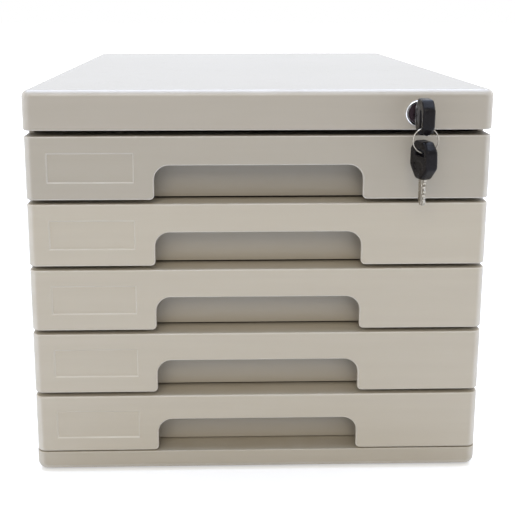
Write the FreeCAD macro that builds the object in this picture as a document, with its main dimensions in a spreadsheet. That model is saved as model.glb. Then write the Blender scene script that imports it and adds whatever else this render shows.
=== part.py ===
import FreeCAD, Part
import os
import re

# A desktop file cabinet with five drawers and a cam lock. Millimetres, +Z up, the front faces -Y, and
# the origin is the centre of the footprint on the table, at the bottom of the middle foot.

doc = FreeCAD.newDocument("FileCabinet")
sheet = doc.addObject("Spreadsheet::Sheet", "Sizes")

SIZES = [
    # the cabinet
    ("cabinet_width", 300.0), ("cabinet_depth", 400.0), ("cabinet_height", 260.0),
    ("foot_height", 4.0), ("foot_radius", 8.0), ("foot_inset", 28.0), ("floor_gap", 1.2),
    ("shell_wall", 3.0), ("cover_height", 25.6), ("cover_roof", 3.0), ("cover_edge", 4.5),
    ("plan_corner", 7.0), ("cover_foot_edge", 1.0), ("base_height", 14.6), ("base_plate", 2.6),
    ("base_edge", 5.0), ("base_top_edge", 0.5), ("rib_lift", 1.0),
    ("side_inset", 0.5), ("side_wall", 3.5), ("side_gap", 2.5), ("back_wall", 3.5), ("back_corner", 3.0),
    ("back_rib_depth", 3.0), ("back_rib_thick", 2.0),
    # the drawer fronts
    ("front_inset", 0.5), ("front_gap", 2.8), ("cover_gap", 3.6), ("base_gap", 0.8),
    ("last_front_height", 39.4),
    ("front_wall", 2.5), ("front_recess", 17.5), ("recess_wall", 2.0), ("front_corner", 6.0),
    ("front_edge", 1.0), ("front_inner_corner", 3.0), ("skirt_overlap", 1.0),
    ("notch_width", 134.0), ("notch_height", 22.3), ("notch_top_corner", 9.5), ("notch_foot_corner", 3.0),
    ("label_width", 54.0), ("label_height", 18.0), ("label_start", 15.0), ("label_drop", 11.4),
    ("label_depth", 0.9), ("label_bevel", 0.8),
    # the trays
    ("tray_room", 10.0), ("tray_wall", 2.0), ("tray_front_wall", 1.6), ("tray_floor", 1.5),
    ("rear_gap", 6.5),
    ("tray_clear", 1.4), ("last_tray_lift", 0.4), ("rim_drop", 5.0), ("tray_corner", 5.0),
    ("tray_inner_corner", 4.0), ("flange_width", 4.0), ("flange_thick", 2.0), ("flange_start", 8.0),
    # the runners and the drawer stops
    ("runner_gap", 0.3), ("runner_inset", 1.4), ("runner_thick", 2.2), ("runner_start", 50.0),
    ("stop_length", 5.5), ("stop_under", 0.3), ("stop_height", 2.8), ("nib_inset", 54.0),
    ("nib_length", 4.0),
    # the lock bar with its teeth, and the trays' catches
    ("bar_wall_gap", 0.4), ("bar_thick", 2.2), ("bar_width", 10.4), ("bar_lift", 7.4), ("arm_above", 8.0),
    ("arm_below", 1.6), ("arm_past", 2.9), ("arm_gap", 0.4), ("arm_thick", 2.8), ("arm_setback", 0.8),
    ("tooth_gap", 0.4), ("tooth_drop", 15.0), ("tooth_height", 5.0), ("tooth_setback", 2.2),
    ("tooth_length", 5.0), ("catch_clear", 1.6), ("catch_height", 6.0), ("catch_gap", 1.4),
    ("catch_length", 12.0), ("catch_plate", 1.2), ("catch_lug", 2.0), ("catch_bar_gap", 0.4),
    ("rivet_radius", 1.3), ("rivet_inset", 8.0), ("bar_screw_drop", 34.0), ("bar_screw_radius", 1.6),
    ("bar_slot_gap", 0.4), ("bar_head_radius", 3.2), ("bar_head", 1.4), ("bar_head_gap", 0.3),
    ("bar_screw_depth", 2.3),
    # the lock
    ("lock_inset", 49.5), ("lock_rise", 10.8), ("bezel_radius", 8.2), ("bezel_proud", 2.4),
    ("bezel_edge", 0.7),
    ("bezel_bore", 6.5), ("bezel_depth", 1.6), ("barrel_radius", 6.0), ("barrel_length", 26.0),
    ("plug_radius", 4.95), ("plug_gap", 0.1), ("plug_over", 2.0), ("nut_flats", 16.0), ("nut_thick", 4.5),
    ("cam_radius", 7.4), ("cam_thick", 2.5), ("pin_radius", 1.6), ("pin_orbit", 4.5), ("pin_over", 0.7),
    ("pin_slot_gap", 0.32), ("cam_screw_radius", 1.5), ("cam_head_radius", 2.5), ("cam_head", 1.7),
    ("cam_screw_depth", 4.0), ("cam_hole_depth", 5.0),
    ("key_wide", 7.0), ("key_thick", 2.0), ("keyway_gap", 0.25), ("key_in_plug", 20.0),
    ("keyway_past", 1.0),
    # the two keys and their ring
    ("key_neck", 6.6), ("head_length", 24.0), ("head_half", 11.2), ("head_thick", 7.5),
    ("head_corner", 5.5), ("head_round", 1.6), ("slot_from_end", 7.0), ("slot_width", 4.2),
    ("slot_top", 4.4), ("tie_offset", 9.0), ("tie_radius", 2.0), ("ring_radius", 7.85),
    ("wire_radius", 0.6), ("ring_gap", 0.3), ("spare_behind", 3.6), ("spare_turn", 15.0),
    ("spare_lift", 2.3), ("spare_blade", 16.5), ("cut_first", 4.2), ("cut_step", 2.6),
    # fasteners
    ("screw_radius", 1.5), ("screw_head_radius", 3.0), ("screw_head", 1.6), ("screw_gap", 0.05),
    ("front_screw_inset", 18.0), ("front_screw_drop", 20.0), ("boss_radius", 3.4), ("boss_length", 5.5),
    ("boss_skin", 1.0), ("screw_short", 0.5), ("tab_length", 14.0), ("tab_width", 14.0), ("tab_thick", 2.6),
    ("tab_inset", 70.0), ("cover_screw_depth", 10.0), ("base_screw_depth", 8.0), ("base_boss_width", 7.2),
    ("base_boss_length", 8.0), ("base_screw_inset", 3.5),
]

for row, (name, value) in enumerate(SIZES, start=1):
    sheet.set("A%d" % row, name)
    sheet.set("B%d" % row, str(value))
    sheet.setAlias("B%d" % row, name)
doc.recompute()

SIZE = dict(SIZES)
PAST = 1.0  # how far a cutting block runs past the face it cuts

# Places that several pieces share, as formulas over the sheet.
HALF = "(cabinet_width / 2)"
FRONT = "(-cabinet_depth / 2)"
BACK = "(cabinet_depth / 2)"
COVER_FOOT = "(cabinet_height - cover_height)"
SIDE = "(%s - side_inset)" % HALF
SIDE_IN = "(%s - side_wall)" % SIDE
FRONT_HALF = "(%s - front_inset)" % HALF
STACK = "(cover_gap + base_height + base_gap + last_front_height)"
PITCH = "((%s - %s) / 4)" % (COVER_FOOT, STACK)
TRAY = "(%s - tray_room)" % SIDE_IN
FLANGE = "(%s + flange_width)" % TRAY
RUNNER = "(%s + runner_inset)" % TRAY
TROUGH_BACK = "(%s + front_recess)" % FRONT
TRAY_FRONT = "(%s + recess_wall)" % TROUGH_BACK
TRAY_IN = "(%s + tray_front_wall)" % TRAY_FRONT
TRAY_BACK = "(%s - back_wall - rear_gap)" % BACK
STOP_BACK = "(%s - tray_corner)" % TRAY_BACK
TAB_Y = "(%s - tab_inset)" % BACK
TAB_X = "(%s - tab_width / 2)" % SIDE_IN
BASE_SCREW_X = "(%s - base_screw_inset)" % SIDE_IN
FRONT_SCREW_X = "(%s - front_screw_inset)" % TRAY
LOCK_X = "(%s - lock_inset)" % HALF
LOCK_Z = "(%s + lock_rise)" % COVER_FOOT
BARREL_END = "(%s + barrel_length)" % FRONT
PLUG_FACE = "(%s - bezel_proud + bezel_depth)" % FRONT
PLUG_END = "(%s + plug_over)" % BARREL_END
PIN_SIDE = "(pin_orbit * sqrt(0.5))"
BAR_DROP = "(2 * %s)" % PIN_SIDE
ARM_FRONT = "(%s + cam_thick + cam_head + arm_gap)" % PLUG_END
ARM_BACK = "(%s + arm_thick)" % ARM_FRONT
BAR_OUT = "(%s - bar_wall_gap)" % SIDE_IN
BAR_IN = "(%s - bar_thick)" % BAR_OUT
BAR_FRONT = "(%s - arm_setback)" % ARM_FRONT
BAR_BACK = "(%s + bar_width)" % BAR_FRONT
BAR_MIDDLE = "(%s + bar_width / 2)" % BAR_FRONT
BAR_TOP = "(%s + arm_above)" % LOCK_Z
BAR_SLOT = "(bar_screw_radius + bar_slot_gap)"
TOOTH_FRONT = "(%s + tooth_setback)" % BAR_FRONT
TOOTH_BACK = "(%s + tooth_length)" % TOOTH_FRONT
CATCH_FRONT = "(%s + catch_gap)" % TOOTH_BACK
CATCH_RIVET = "(%s + rivet_inset)" % CATCH_FRONT
NECK = "(%s - key_neck)" % FRONT
RING_Y = "(%s - head_length + slot_from_end)" % NECK
RING_Z = "(%s - tie_offset - (ring_radius - wire_radius - tie_radius - ring_gap))" % LOCK_Z


def top_of(number):
    """The top face of drawer 1 (upper) to 5 (lower)."""
    return "(base_height + base_gap + last_front_height + %d * %s)" % (5 - number, PITCH)


def foot_of(number):
    """The lower edge of a drawer front."""
    if number == 5:
        return "(base_height + base_gap)"
    return "(%s - %s + front_gap)" % (top_of(number), PITCH)


def floor_of(number):
    """The underside of a tray."""
    if number == 5:
        return "(%s + last_tray_lift)" % foot_of(number)
    return "(%s - %s + tray_clear)" % (top_of(number), PITCH)


def catch_top(number):
    """The catch is just clear of the raised tooth above it."""
    return "(%s - tooth_drop - tooth_height - catch_clear)" % top_of(number)


def runner_top(number):
    return "(%s - rim_drop - flange_thick - runner_gap)" % top_of(number)


def cells(text):
    """The same formula with every size written as a cell of the sheet."""
    return re.sub(r"[a-z_]+", lambda m: ("Sizes." if m.group(0) in SIZE else "") + m.group(0), text)


def bind(thing, **formulas):
    """Binds properties to formulas over the sheet; two underscores stand for a dot."""
    for prop, text in formulas.items():
        thing.setExpression(prop.replace("__", "."), cells(text))


def new_body(name):
    body = doc.addObject("PartDesign::Body", name)
    body.Label = name
    return body


def block(body, name, x, y, z, cut=False):
    """A box in a body, from three (low, high) pairs of formulas."""
    kind = "PartDesign::SubtractiveBox" if cut else "PartDesign::AdditiveBox"
    box = body.newObject(kind, body.Name + "_" + name)
    bind(box, Length="(%s) - (%s)" % (x[1], x[0]), Width="(%s) - (%s)" % (y[1], y[0]),
         Height="(%s) - (%s)" % (z[1], z[0]), Placement__Base__x=x[0], Placement__Base__y=y[0],
         Placement__Base__z=z[0])
    doc.recompute()
    return box


TURN = {"x": FreeCAD.Rotation(0, 90, 0), "y": FreeCAD.Rotation(0, 0, -90), "z": FreeCAD.Rotation()}


def rod(body, name, radius, length, at, along="z", cut=False):
    """A cylinder in a body, from its start point, along +X, +Y or +Z."""
    kind = "PartDesign::SubtractiveCylinder" if cut else "PartDesign::AdditiveCylinder"
    cylinder = body.newObject(kind, body.Name + "_" + name)
    cylinder.Placement.Rotation = TURN[along]
    bind(cylinder, Radius=radius, Height=length, Placement__Base__x=at[0], Placement__Base__y=at[1],
         Placement__Base__z=at[2])
    doc.recompute()
    return cylinder


def dress(body, kind, name, size, pick):
    """A fillet or chamfer on the edges of the body's tip that pick(edge, middle point) accepts."""
    tip = body.Tip
    edges = ["Edge%d" % n for n, edge in enumerate(tip.Shape.Edges, start=1)
             if pick(edge, edge.valueAt((edge.FirstParameter + edge.LastParameter) / 2))]
    if not edges:
        raise ValueError("no edges for " + name)
    feature = body.newObject("PartDesign::" + kind, body.Name + "_" + name)
    feature.Base = (tip, edges)
    bind(feature, **({"Radius": size} if kind == "Fillet" else {"Size": size}))
    doc.recompute()
    if not feature.isValid() or feature.Shape.isNull():
        raise ValueError("%s failed on %s" % (kind, feature.Name))
    return feature


def runs_along(edge, axis):
    box = edge.BoundBox
    spans = {"x": box.XLength, "y": box.YLength, "z": box.ZLength}
    return all(span < 0.001 for key, span in spans.items() if key != axis) and spans[axis] > 0.001


def near(a, b, within=0.01):
    return abs(a - b) < within


def lies_at_y(edge, y):
    return near(edge.BoundBox.YMin, y) and near(edge.BoundBox.YMax, y)


def minus(text):
    return "(-(%s))" % text


def corner_points(x, y):
    """Four (x, y, name) at the corners of the footprint."""
    return [(minus(x), minus(y), "lf"), (x, minus(y), "rf"), (minus(x), y, "lb"), (x, y, "rb")]


def span_from(sign, low, high):
    """An X range on the right (sign 1) or mirrored on the left (sign -1)."""
    return (low, high) if sign > 0 else (minus(high), minus(low))


def make_cover():
    body = new_body("top_cover")
    block(body, "outside", (minus(HALF), HALF), (FRONT, BACK), (COVER_FOOT, "cabinet_height"))
    box = body.Shape.BoundBox
    top, foot = box.ZMax, box.ZMin
    dress(body, "Fillet", "corners", "plan_corner", lambda e, m: runs_along(e, "z"))
    dress(body, "Fillet", "upper_edge", "cover_edge", lambda e, m: near(m.z, top))
    dress(body, "Fillet", "lower_edge", "cover_foot_edge", lambda e, m: near(m.z, foot))
    roof = "(cabinet_height - cover_roof)"
    block(body, "inside", (minus(HALF) + " + shell_wall", HALF + " - shell_wall"),
          (FRONT + " + shell_wall", BACK + " - shell_wall"), (COVER_FOOT, roof), cut=True)
    for x, y, place in corner_points(TAB_X, TAB_Y):
        rod(body, "boss_" + place, "boss_radius", "%s - %s" % (roof, COVER_FOOT), (x, y, COVER_FOOT))
        rod(body, "pilot_" + place, "screw_radius + screw_gap", "cover_screw_depth", (x, y, COVER_FOOT),
            cut=True)
    rod(body, "lock_hole", "barrel_radius + screw_gap", "shell_wall", (LOCK_X, FRONT, LOCK_Z), "y",
        cut=True)
    return body


def make_base():
    body = new_body("base")
    block(body, "outside", (minus(HALF), HALF), (FRONT, BACK), ("floor_gap", "base_height"))
    box = body.Shape.BoundBox
    top, foot = box.ZMax, box.ZMin
    dress(body, "Fillet", "corners", "plan_corner", lambda e, m: runs_along(e, "z"))
    dress(body, "Fillet", "lower_edge", "base_edge", lambda e, m: near(m.z, foot))
    dress(body, "Fillet", "upper_edge", "base_top_edge", lambda e, m: near(m.z, top))
    across = (minus(HALF) + " + shell_wall", HALF + " - shell_wall")
    along = (FRONT + " + shell_wall", BACK + " - shell_wall")
    under = "(base_height - base_plate)"
    block(body, "inside", across, along, ("floor_gap - %s" % PAST, under), cut=True)
    middle = ("-shell_wall / 2", "shell_wall / 2")
    block(body, "cross_rib", across, middle, ("floor_gap + rib_lift", under))
    block(body, "long_rib", middle, along, ("floor_gap + rib_lift", under))
    for x, y, place in foot_points():
        rod(body, "foot_socket_" + place, "foot_radius + shell_wall", under + " - floor_gap",
            (x, y, "floor_gap"))
        rod(body, "foot_seat_" + place, "foot_radius + screw_gap", "foot_height - floor_gap",
            (x, y, "floor_gap"), cut=True)
    for x, y, place in corner_points(BASE_SCREW_X, TAB_Y):
        rod(body, "screw_hole_" + place, "screw_radius + screw_gap", "base_plate", (x, y, under), cut=True)
    return body


def foot_points():
    corners = corner_points("(%s - foot_inset)" % HALF, "(%s - foot_inset)" % BACK)
    return corners + [("0", "0", "middle")]


def make_feet():
    return together("feet", [solid_rod("foot_" + place, "foot_radius", "foot_height", (x, y, "0"))
                             for x, y, place in foot_points()])


def make_side(name, sign):
    """A side panel, right (sign 1) or left (sign -1). Its runners carry the drawers' flanges."""
    body = new_body(name)
    block(body, "plate", span_from(sign, SIDE_IN, SIDE),
          (TRAY_FRONT + " + side_gap", BACK + " - back_wall"), ("base_height", COVER_FOOT))
    runner = span_from(sign, RUNNER, SIDE_IN)
    nib = "(%s + nib_inset)" % FRONT
    for number in range(1, 6):
        rest = runner_top(number)
        block(body, "runner_%d" % number, runner, (FRONT + " + runner_start", TRAY_BACK),
              (rest + " - runner_thick", rest))
        low = rest + " - runner_thick - stop_under - stop_height"
        block(body, "nib_%d" % number, runner, (nib, nib + " + nib_length"),
              (low, rest + " - runner_thick"))
    for y, place in ((TAB_Y, "back"), (minus(TAB_Y), "front")):
        block(body, "upper_tab_" + place, span_from(sign, SIDE_IN + " - tab_width", SIDE_IN),
              (y + " - tab_length / 2", y + " + tab_length / 2"),
              (COVER_FOOT + " - tab_thick", COVER_FOOT))
        x = TAB_X if sign > 0 else minus(TAB_X)
        rod(body, "upper_hole_" + place, "screw_radius + screw_gap", "tab_thick",
            (x, y, COVER_FOOT + " - tab_thick"), cut=True)
        block(body, "lower_boss_" + place, span_from(sign, SIDE_IN + " - base_boss_width", SIDE_IN),
              (y + " - base_boss_length / 2", y + " + base_boss_length / 2"),
              ("base_height", "base_height + base_screw_depth + boss_skin"))
        x = BASE_SCREW_X if sign > 0 else minus(BASE_SCREW_X)
        rod(body, "lower_hole_" + place, "screw_radius + screw_gap", "base_screw_depth",
            (x, y, "base_height"), cut=True)
    if sign > 0:
        for number in (1, 4):
            rod(body, "bar_screw_hole_%d" % number, "bar_screw_radius + screw_gap",
                "bar_screw_depth + screw_gap",
                (SIDE_IN, BAR_MIDDLE, top_of(number) + " - bar_screw_drop"), "x", cut=True)
    return body


def make_back():
    body = new_body("back_panel")
    block(body, "plate", (minus(SIDE), SIDE), (BACK + " - back_wall", BACK), ("base_height", COVER_FOOT))
    rear = body.Shape.BoundBox.YMax
    dress(body, "Fillet", "corners", "back_corner", lambda e, m: runs_along(e, "z") and near(m.y, rear))
    for number in range(1, 5):
        middle = "(%s - front_gap / 2)" % foot_of(number)
        block(body, "rib_%d" % number, (minus(TRAY), TRAY),
              (BACK + " - back_wall - back_rib_depth", BACK + " - back_wall"),
              (middle + " - back_rib_thick / 2", middle + " + back_rib_thick / 2"))
    return body


def make_front(number):
    """A drawer front: an upside-down trough with a finger notch and a sunk label panel."""
    body = new_body("drawer_front_%d" % number)
    top, foot = top_of(number), foot_of(number)
    block(body, "outside", (minus(FRONT_HALF), FRONT_HALF), (FRONT, TRAY_FRONT), (foot, top))
    box = body.Shape.BoundBox
    face, low, half = box.YMin, box.ZMin, box.XMax
    dress(body, "Fillet", "corners", "front_corner", lambda e, m: runs_along(e, "z") and near(m.y, face))
    block(body, "notch", ("-notch_width / 2", "notch_width / 2"),
          ("%s - %s" % (FRONT, PAST), "%s + front_wall + %s" % (FRONT, PAST)),
          ("%s - %s" % (foot, PAST), foot + " + notch_height"), cut=True)
    notch = SIZE["notch_width"] / 2
    notch_top = low + SIZE["notch_height"]
    dress(body, "Fillet", "notch_top", "notch_top_corner",
          lambda e, m: runs_along(e, "y") and near(abs(m.x), notch) and near(m.z, notch_top))
    dress(body, "Fillet", "notch_foot", "notch_foot_corner",
          lambda e, m: runs_along(e, "y") and near(abs(m.x), notch) and near(m.z, low))
    tangent = half - SIZE["front_corner"]
    dress(body, "Fillet", "face_edge", "front_edge",
          lambda e, m: lies_at_y(e, face) and not (runs_along(e, "z") and near(abs(m.x), tangent)))
    block(body, "inside", (minus(FRONT_HALF) + " + front_wall", FRONT_HALF + " - front_wall"),
          (FRONT + " + front_wall", TROUGH_BACK),
          ("%s - %s" % (foot, PAST), top + " - front_wall"), cut=True)
    inner = half - SIZE["front_wall"]
    back_of_face = face + SIZE["front_wall"]
    dress(body, "Fillet", "inner_corners", "front_inner_corner",
          lambda e, m: runs_along(e, "z") and near(abs(m.x), inner) and near(m.y, back_of_face))
    left = "(%s + label_start)" % minus(FRONT_HALF)
    block(body, "label", (left, left + " + label_width"),
          ("%s - %s" % (FRONT, PAST), FRONT + " + label_depth"),
          (top + " - label_drop - label_height", top + " - label_drop"), cut=True)
    start = -half + SIZE["label_start"] - 0.1
    end = start + SIZE["label_width"] + 0.2
    above = box.ZMax - SIZE["label_drop"] + 0.1
    below = above - SIZE["label_height"] - 0.2
    dress(body, "Chamfer", "label_bevel", "label_bevel",
          lambda e, m: lies_at_y(e, face) and start < m.x < end and below < m.z < above)
    if number < 5:
        block(body, "skirt", (minus(FRONT_HALF) + " + front_corner", FRONT_HALF + " - front_corner"),
              (TROUGH_BACK, TRAY_FRONT), (floor_of(number), foot + " + skirt_overlap"))
    for x, place in ((FRONT_SCREW_X, "right"), (minus(FRONT_SCREW_X), "left")):
        z = top + " - front_screw_drop"
        rod(body, "boss_" + place, "boss_radius", "boss_length + recess_wall / 2",
            (x, TROUGH_BACK + " - boss_length", z), "y")
        rod(body, "pilot_" + place, "screw_radius + screw_gap", "boss_length + recess_wall - boss_skin",
            (x, TROUGH_BACK + " - boss_length + boss_skin", z), "y", cut=True)
    return body


def make_tray(number):
    """A tray, with the flanges that ride on the runners and a stop under the back of each."""
    body = new_body("drawer_tray_%d" % number)
    top, floor = top_of(number), floor_of(number)
    rim = "(%s - rim_drop)" % top
    block(body, "outside", (minus(TRAY), TRAY), (TRAY_FRONT, TRAY_BACK), (floor, rim))
    box = body.Shape.BoundBox
    back, inner = box.YMax, box.XMax - SIZE["tray_wall"]
    dress(body, "Fillet", "corners", "tray_corner", lambda e, m: runs_along(e, "z") and near(m.y, back))
    block(body, "inside", (minus(TRAY) + " + tray_wall", TRAY + " - tray_wall"),
          (TRAY_IN, TRAY_BACK + " - tray_wall"), (floor + " + tray_floor", "%s + %s" % (rim, PAST)),
          cut=True)
    dress(body, "Fillet", "inner_corners", "tray_inner_corner",
          lambda e, m: runs_along(e, "z") and near(abs(m.x), inner))
    hold = "(%s - tray_wall / 2)" % TRAY
    under = "(%s - runner_thick - stop_under)" % runner_top(number)
    for sign, place in ((1, "right"), (-1, "left")):
        block(body, "flange_" + place, span_from(sign, hold, FLANGE),
              (TRAY_FRONT + " + flange_start", STOP_BACK), (rim + " - flange_thick", rim))
        block(body, "stop_" + place, span_from(sign, hold, FLANGE),
              (STOP_BACK + " - stop_length", STOP_BACK), (under + " - stop_height", under))
    rod(body, "rivet_hole", "rivet_radius + screw_gap", "tray_wall",
        (TRAY + " - tray_wall", CATCH_RIVET, catch_top(number) + " - catch_height / 2"), "x", cut=True)
    for x, place in ((FRONT_SCREW_X, "right"), (minus(FRONT_SCREW_X), "left")):
        rod(body, "screw_hole_" + place, "screw_radius + screw_gap", "tray_front_wall",
            (x, TRAY_FRONT, top + " - front_screw_drop"), "y", cut=True)
    return body


def make_catch(number):
    """A steel angle riveted to the tray's right wall. Its lug stands behind the lowered bar's tooth."""
    body = new_body("lock_catch_%d" % number)
    high = catch_top(number)
    rise = (high + " - catch_height", high)
    block(body, "plate", (TRAY, TRAY + " + catch_plate"),
          (CATCH_FRONT, CATCH_FRONT + " + catch_length"), rise)
    block(body, "lug", (TRAY, BAR_IN + " - catch_bar_gap"),
          (CATCH_FRONT, CATCH_FRONT + " + catch_lug"), rise)
    rod(body, "rivet", "rivet_radius", "tray_wall",
        (TRAY + " - tray_wall", CATCH_RIVET, high + " - catch_height / 2"), "x")
    return body


def solid_rod(name, radius, length, at, along="z"):
    cylinder = doc.addObject("Part::Cylinder", name)
    cylinder.Placement.Rotation = TURN[along]
    bind(cylinder, Radius=radius, Height=length, Placement__Base__x=at[0], Placement__Base__y=at[1],
         Placement__Base__z=at[2])
    return cylinder


def together(name, things):
    """Several separate solids that are one node, such as identical screws."""
    group = doc.addObject("Part::Compound", name)
    group.Label = name
    group.Links = things
    doc.recompute()
    return group


def screw(name, shank, head, seat, along, head_first=True):
    """A pan head and a shank, each a (radius, length) pair. The shank runs on from the seat of the head
    along the axis, or back from it when head_first is false."""
    shift = head[1] if head_first else shank[1]
    start = list(seat)
    start["xyz".index(along)] += " - (%s)" % shift
    head_part = solid_rod(name + "_head", head[0], head[1], start if head_first else seat, along)
    shank_part = solid_rod(name + "_shank", shank[0], shank[1], seat if head_first else start, along)
    whole = doc.addObject("Part::Fuse", name)
    whole.Base = head_part
    whole.Tool = shank_part
    return whole


PAN_HEAD = ("screw_head_radius", "screw_head")


def make_front_screws(number):
    shank = ("screw_radius", "tray_front_wall + recess_wall + boss_length - boss_skin - screw_short")
    z = top_of(number) + " - front_screw_drop"
    return together("front_screws_%d" % number, [
        screw("front_screw_%d_%s" % (number, place), shank, PAN_HEAD, (x, TRAY_IN, z), "y",
              head_first=False)
        for x, place in ((FRONT_SCREW_X, "right"), (minus(FRONT_SCREW_X), "left"))])


def make_cover_screws():
    shank = ("screw_radius", "tab_thick + cover_screw_depth - screw_short")
    return together("cover_screws", [
        screw("cover_screw_" + place, shank, PAN_HEAD, (x, y, COVER_FOOT + " - tab_thick"), "z")
        for x, y, place in corner_points(TAB_X, TAB_Y)])


def make_base_screws():
    shank = ("screw_radius", "base_plate + base_screw_depth - screw_short")
    return together("base_screws", [
        screw("base_screw_" + place, shank, PAN_HEAD, (x, y, "base_height - base_plate"), "z")
        for x, y, place in corner_points(BASE_SCREW_X, TAB_Y)])


def make_bar_screws():
    """Shoulder screws on which the lock bar slides."""
    seat = "(%s - bar_head_gap)" % BAR_IN
    shank = ("bar_screw_radius", "bar_head_gap + bar_thick + bar_wall_gap + bar_screw_depth")
    return together("bar_screws", [
        screw("bar_screw_%d" % number, shank, ("bar_head_radius", "bar_head"),
              (seat, BAR_MIDDLE, top_of(number) + " - bar_screw_drop"), "x") for number in (1, 4)])


def make_bar():
    """The lock bar: a strip that slides up and down the side panel, with an arm over the cam pin."""
    body = new_body("locking_bar")
    block(body, "strip", (BAR_IN, BAR_OUT), (BAR_FRONT, BAR_BACK), ("base_height + bar_lift", BAR_TOP))
    block(body, "arm", (LOCK_X + " - arm_past", BAR_OUT), (ARM_FRONT, ARM_BACK),
          (LOCK_Z + " - arm_below", BAR_TOP))
    past = "%s - %s" % (BAR_IN, PAST)
    for number in (1, 4):
        low = "(%s - bar_screw_drop)" % top_of(number)
        high = "(%s + %s)" % (low, BAR_DROP)
        block(body, "slot_%d" % number, (past, "%s + %s" % (BAR_OUT, PAST)),
              ("%s - %s" % (BAR_MIDDLE, BAR_SLOT), "%s + %s" % (BAR_MIDDLE, BAR_SLOT)),
              (low, high), cut=True)
        for end, height in (("low", low), ("high", high)):
            rod(body, "slot_%d_%s" % (number, end), BAR_SLOT, "bar_thick + 2 * %s" % PAST,
                (past, BAR_MIDDLE, height), "x", cut=True)
    high = "(%s + %s)" % (LOCK_Z, PIN_SIDE)
    reach = "(pin_radius + pin_slot_gap)"
    near_x, far_x = "(%s + %s)" % (LOCK_X, PIN_SIDE), "(%s + pin_orbit)" % LOCK_X
    before = "%s - %s" % (ARM_FRONT, PAST)
    block(body, "pin_slot", (near_x, far_x), (before, "%s + %s" % (ARM_BACK, PAST)),
          ("%s - %s" % (high, reach), "%s + %s" % (high, reach)), cut=True)
    for end, x in (("near", near_x), ("far", far_x)):
        rod(body, "pin_slot_" + end, reach, "arm_thick + 2 * %s" % PAST, (x, before, high), "y",
            cut=True)
    return body


def make_bar_teeth():
    """Five blocks welded to the bar, one for each tray's catch."""
    teeth = []
    inner = FLANGE + " + tooth_gap"
    for number in range(1, 6):
        tooth = doc.addObject("Part::Box", "bar_tooth_%d" % number)
        foot = "%s - tooth_drop - tooth_height" % top_of(number)
        bind(tooth, Length="%s - (%s)" % (BAR_IN, inner), Width="tooth_length", Height="tooth_height",
             Placement__Base__x=inner, Placement__Base__y=TOOTH_FRONT, Placement__Base__z=foot)
        teeth.append(tooth)
    return together("bar_teeth", teeth)


def make_lock_housing():
    body = new_body("lock_housing")
    face = "(%s - bezel_proud)" % FRONT
    rod(body, "bezel", "bezel_radius", "bezel_proud", (LOCK_X, face, LOCK_Z), "y")
    rim = body.Shape.BoundBox.YMin
    dress(body, "Fillet", "bezel_edge", "bezel_edge", lambda e, m: lies_at_y(e, rim))
    rod(body, "barrel", "barrel_radius", "barrel_length", (LOCK_X, FRONT, LOCK_Z), "y")
    rod(body, "dish", "bezel_bore", "bezel_depth", (LOCK_X, face, LOCK_Z), "y", cut=True)
    rod(body, "bore", "plug_radius + plug_gap", "bezel_proud + barrel_length + %s" % PAST,
        (LOCK_X, face, LOCK_Z), "y", cut=True)
    return body


def make_lock_nut():
    body = new_body("lock_nut")
    prism = body.newObject("PartDesign::AdditivePrism", "nut_hexagon")
    prism.Polygon = 6
    prism.Placement.Rotation = TURN["y"]
    seat = "(%s + shell_wall)" % FRONT
    bind(prism, Circumradius="nut_flats / sqrt(3)", Height="nut_thick", Placement__Base__x=LOCK_X,
         Placement__Base__y=seat, Placement__Base__z=LOCK_Z)
    doc.recompute()
    rod(body, "hole", "barrel_radius + screw_gap", "nut_thick + 2 * %s" % PAST,
        (LOCK_X, "%s - %s" % (seat, PAST), LOCK_Z), "y", cut=True)
    return body


def make_lock_plug():
    body = new_body("lock_plug")
    rod(body, "barrel", "plug_radius", "%s - %s" % (PLUG_END, PLUG_FACE),
        (LOCK_X, PLUG_FACE, LOCK_Z), "y")
    side, high = "(key_thick / 2 + keyway_gap)", "(key_wide / 2 + keyway_gap)"
    block(body, "keyway", ("%s - %s" % (LOCK_X, side), "%s + %s" % (LOCK_X, side)),
          ("%s - %s" % (PLUG_FACE, PAST), PLUG_FACE + " + key_in_plug + keyway_past"),
          ("%s - %s" % (LOCK_Z, high), "%s + %s" % (LOCK_Z, high)), cut=True)
    rod(body, "screw_hole", "cam_screw_radius + screw_gap", "cam_hole_depth",
        (LOCK_X, PLUG_END + " - cam_hole_depth", LOCK_Z), "y", cut=True)
    return body


def make_lock_cam():
    body = new_body("lock_cam")
    rod(body, "disc", "cam_radius", "cam_thick", (LOCK_X, PLUG_END, LOCK_Z), "y")
    rod(body, "pin", "pin_radius", "%s + pin_over - %s" % (ARM_BACK, PLUG_END),
        ("%s + %s" % (LOCK_X, PIN_SIDE), PLUG_END, "%s + %s" % (LOCK_Z, PIN_SIDE)), "y")
    rod(body, "screw_hole", "cam_screw_radius + screw_gap", "cam_thick", (LOCK_X, PLUG_END, LOCK_Z), "y",
        cut=True)
    return body


def make_cam_screw():
    shank = ("cam_screw_radius", "cam_thick + cam_screw_depth")
    one = screw("cam_screw", shank, ("cam_head_radius", "cam_head"),
                (LOCK_X, PLUG_END + " + cam_thick", LOCK_Z), "y", head_first=False)
    doc.recompute()
    return one


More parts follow.
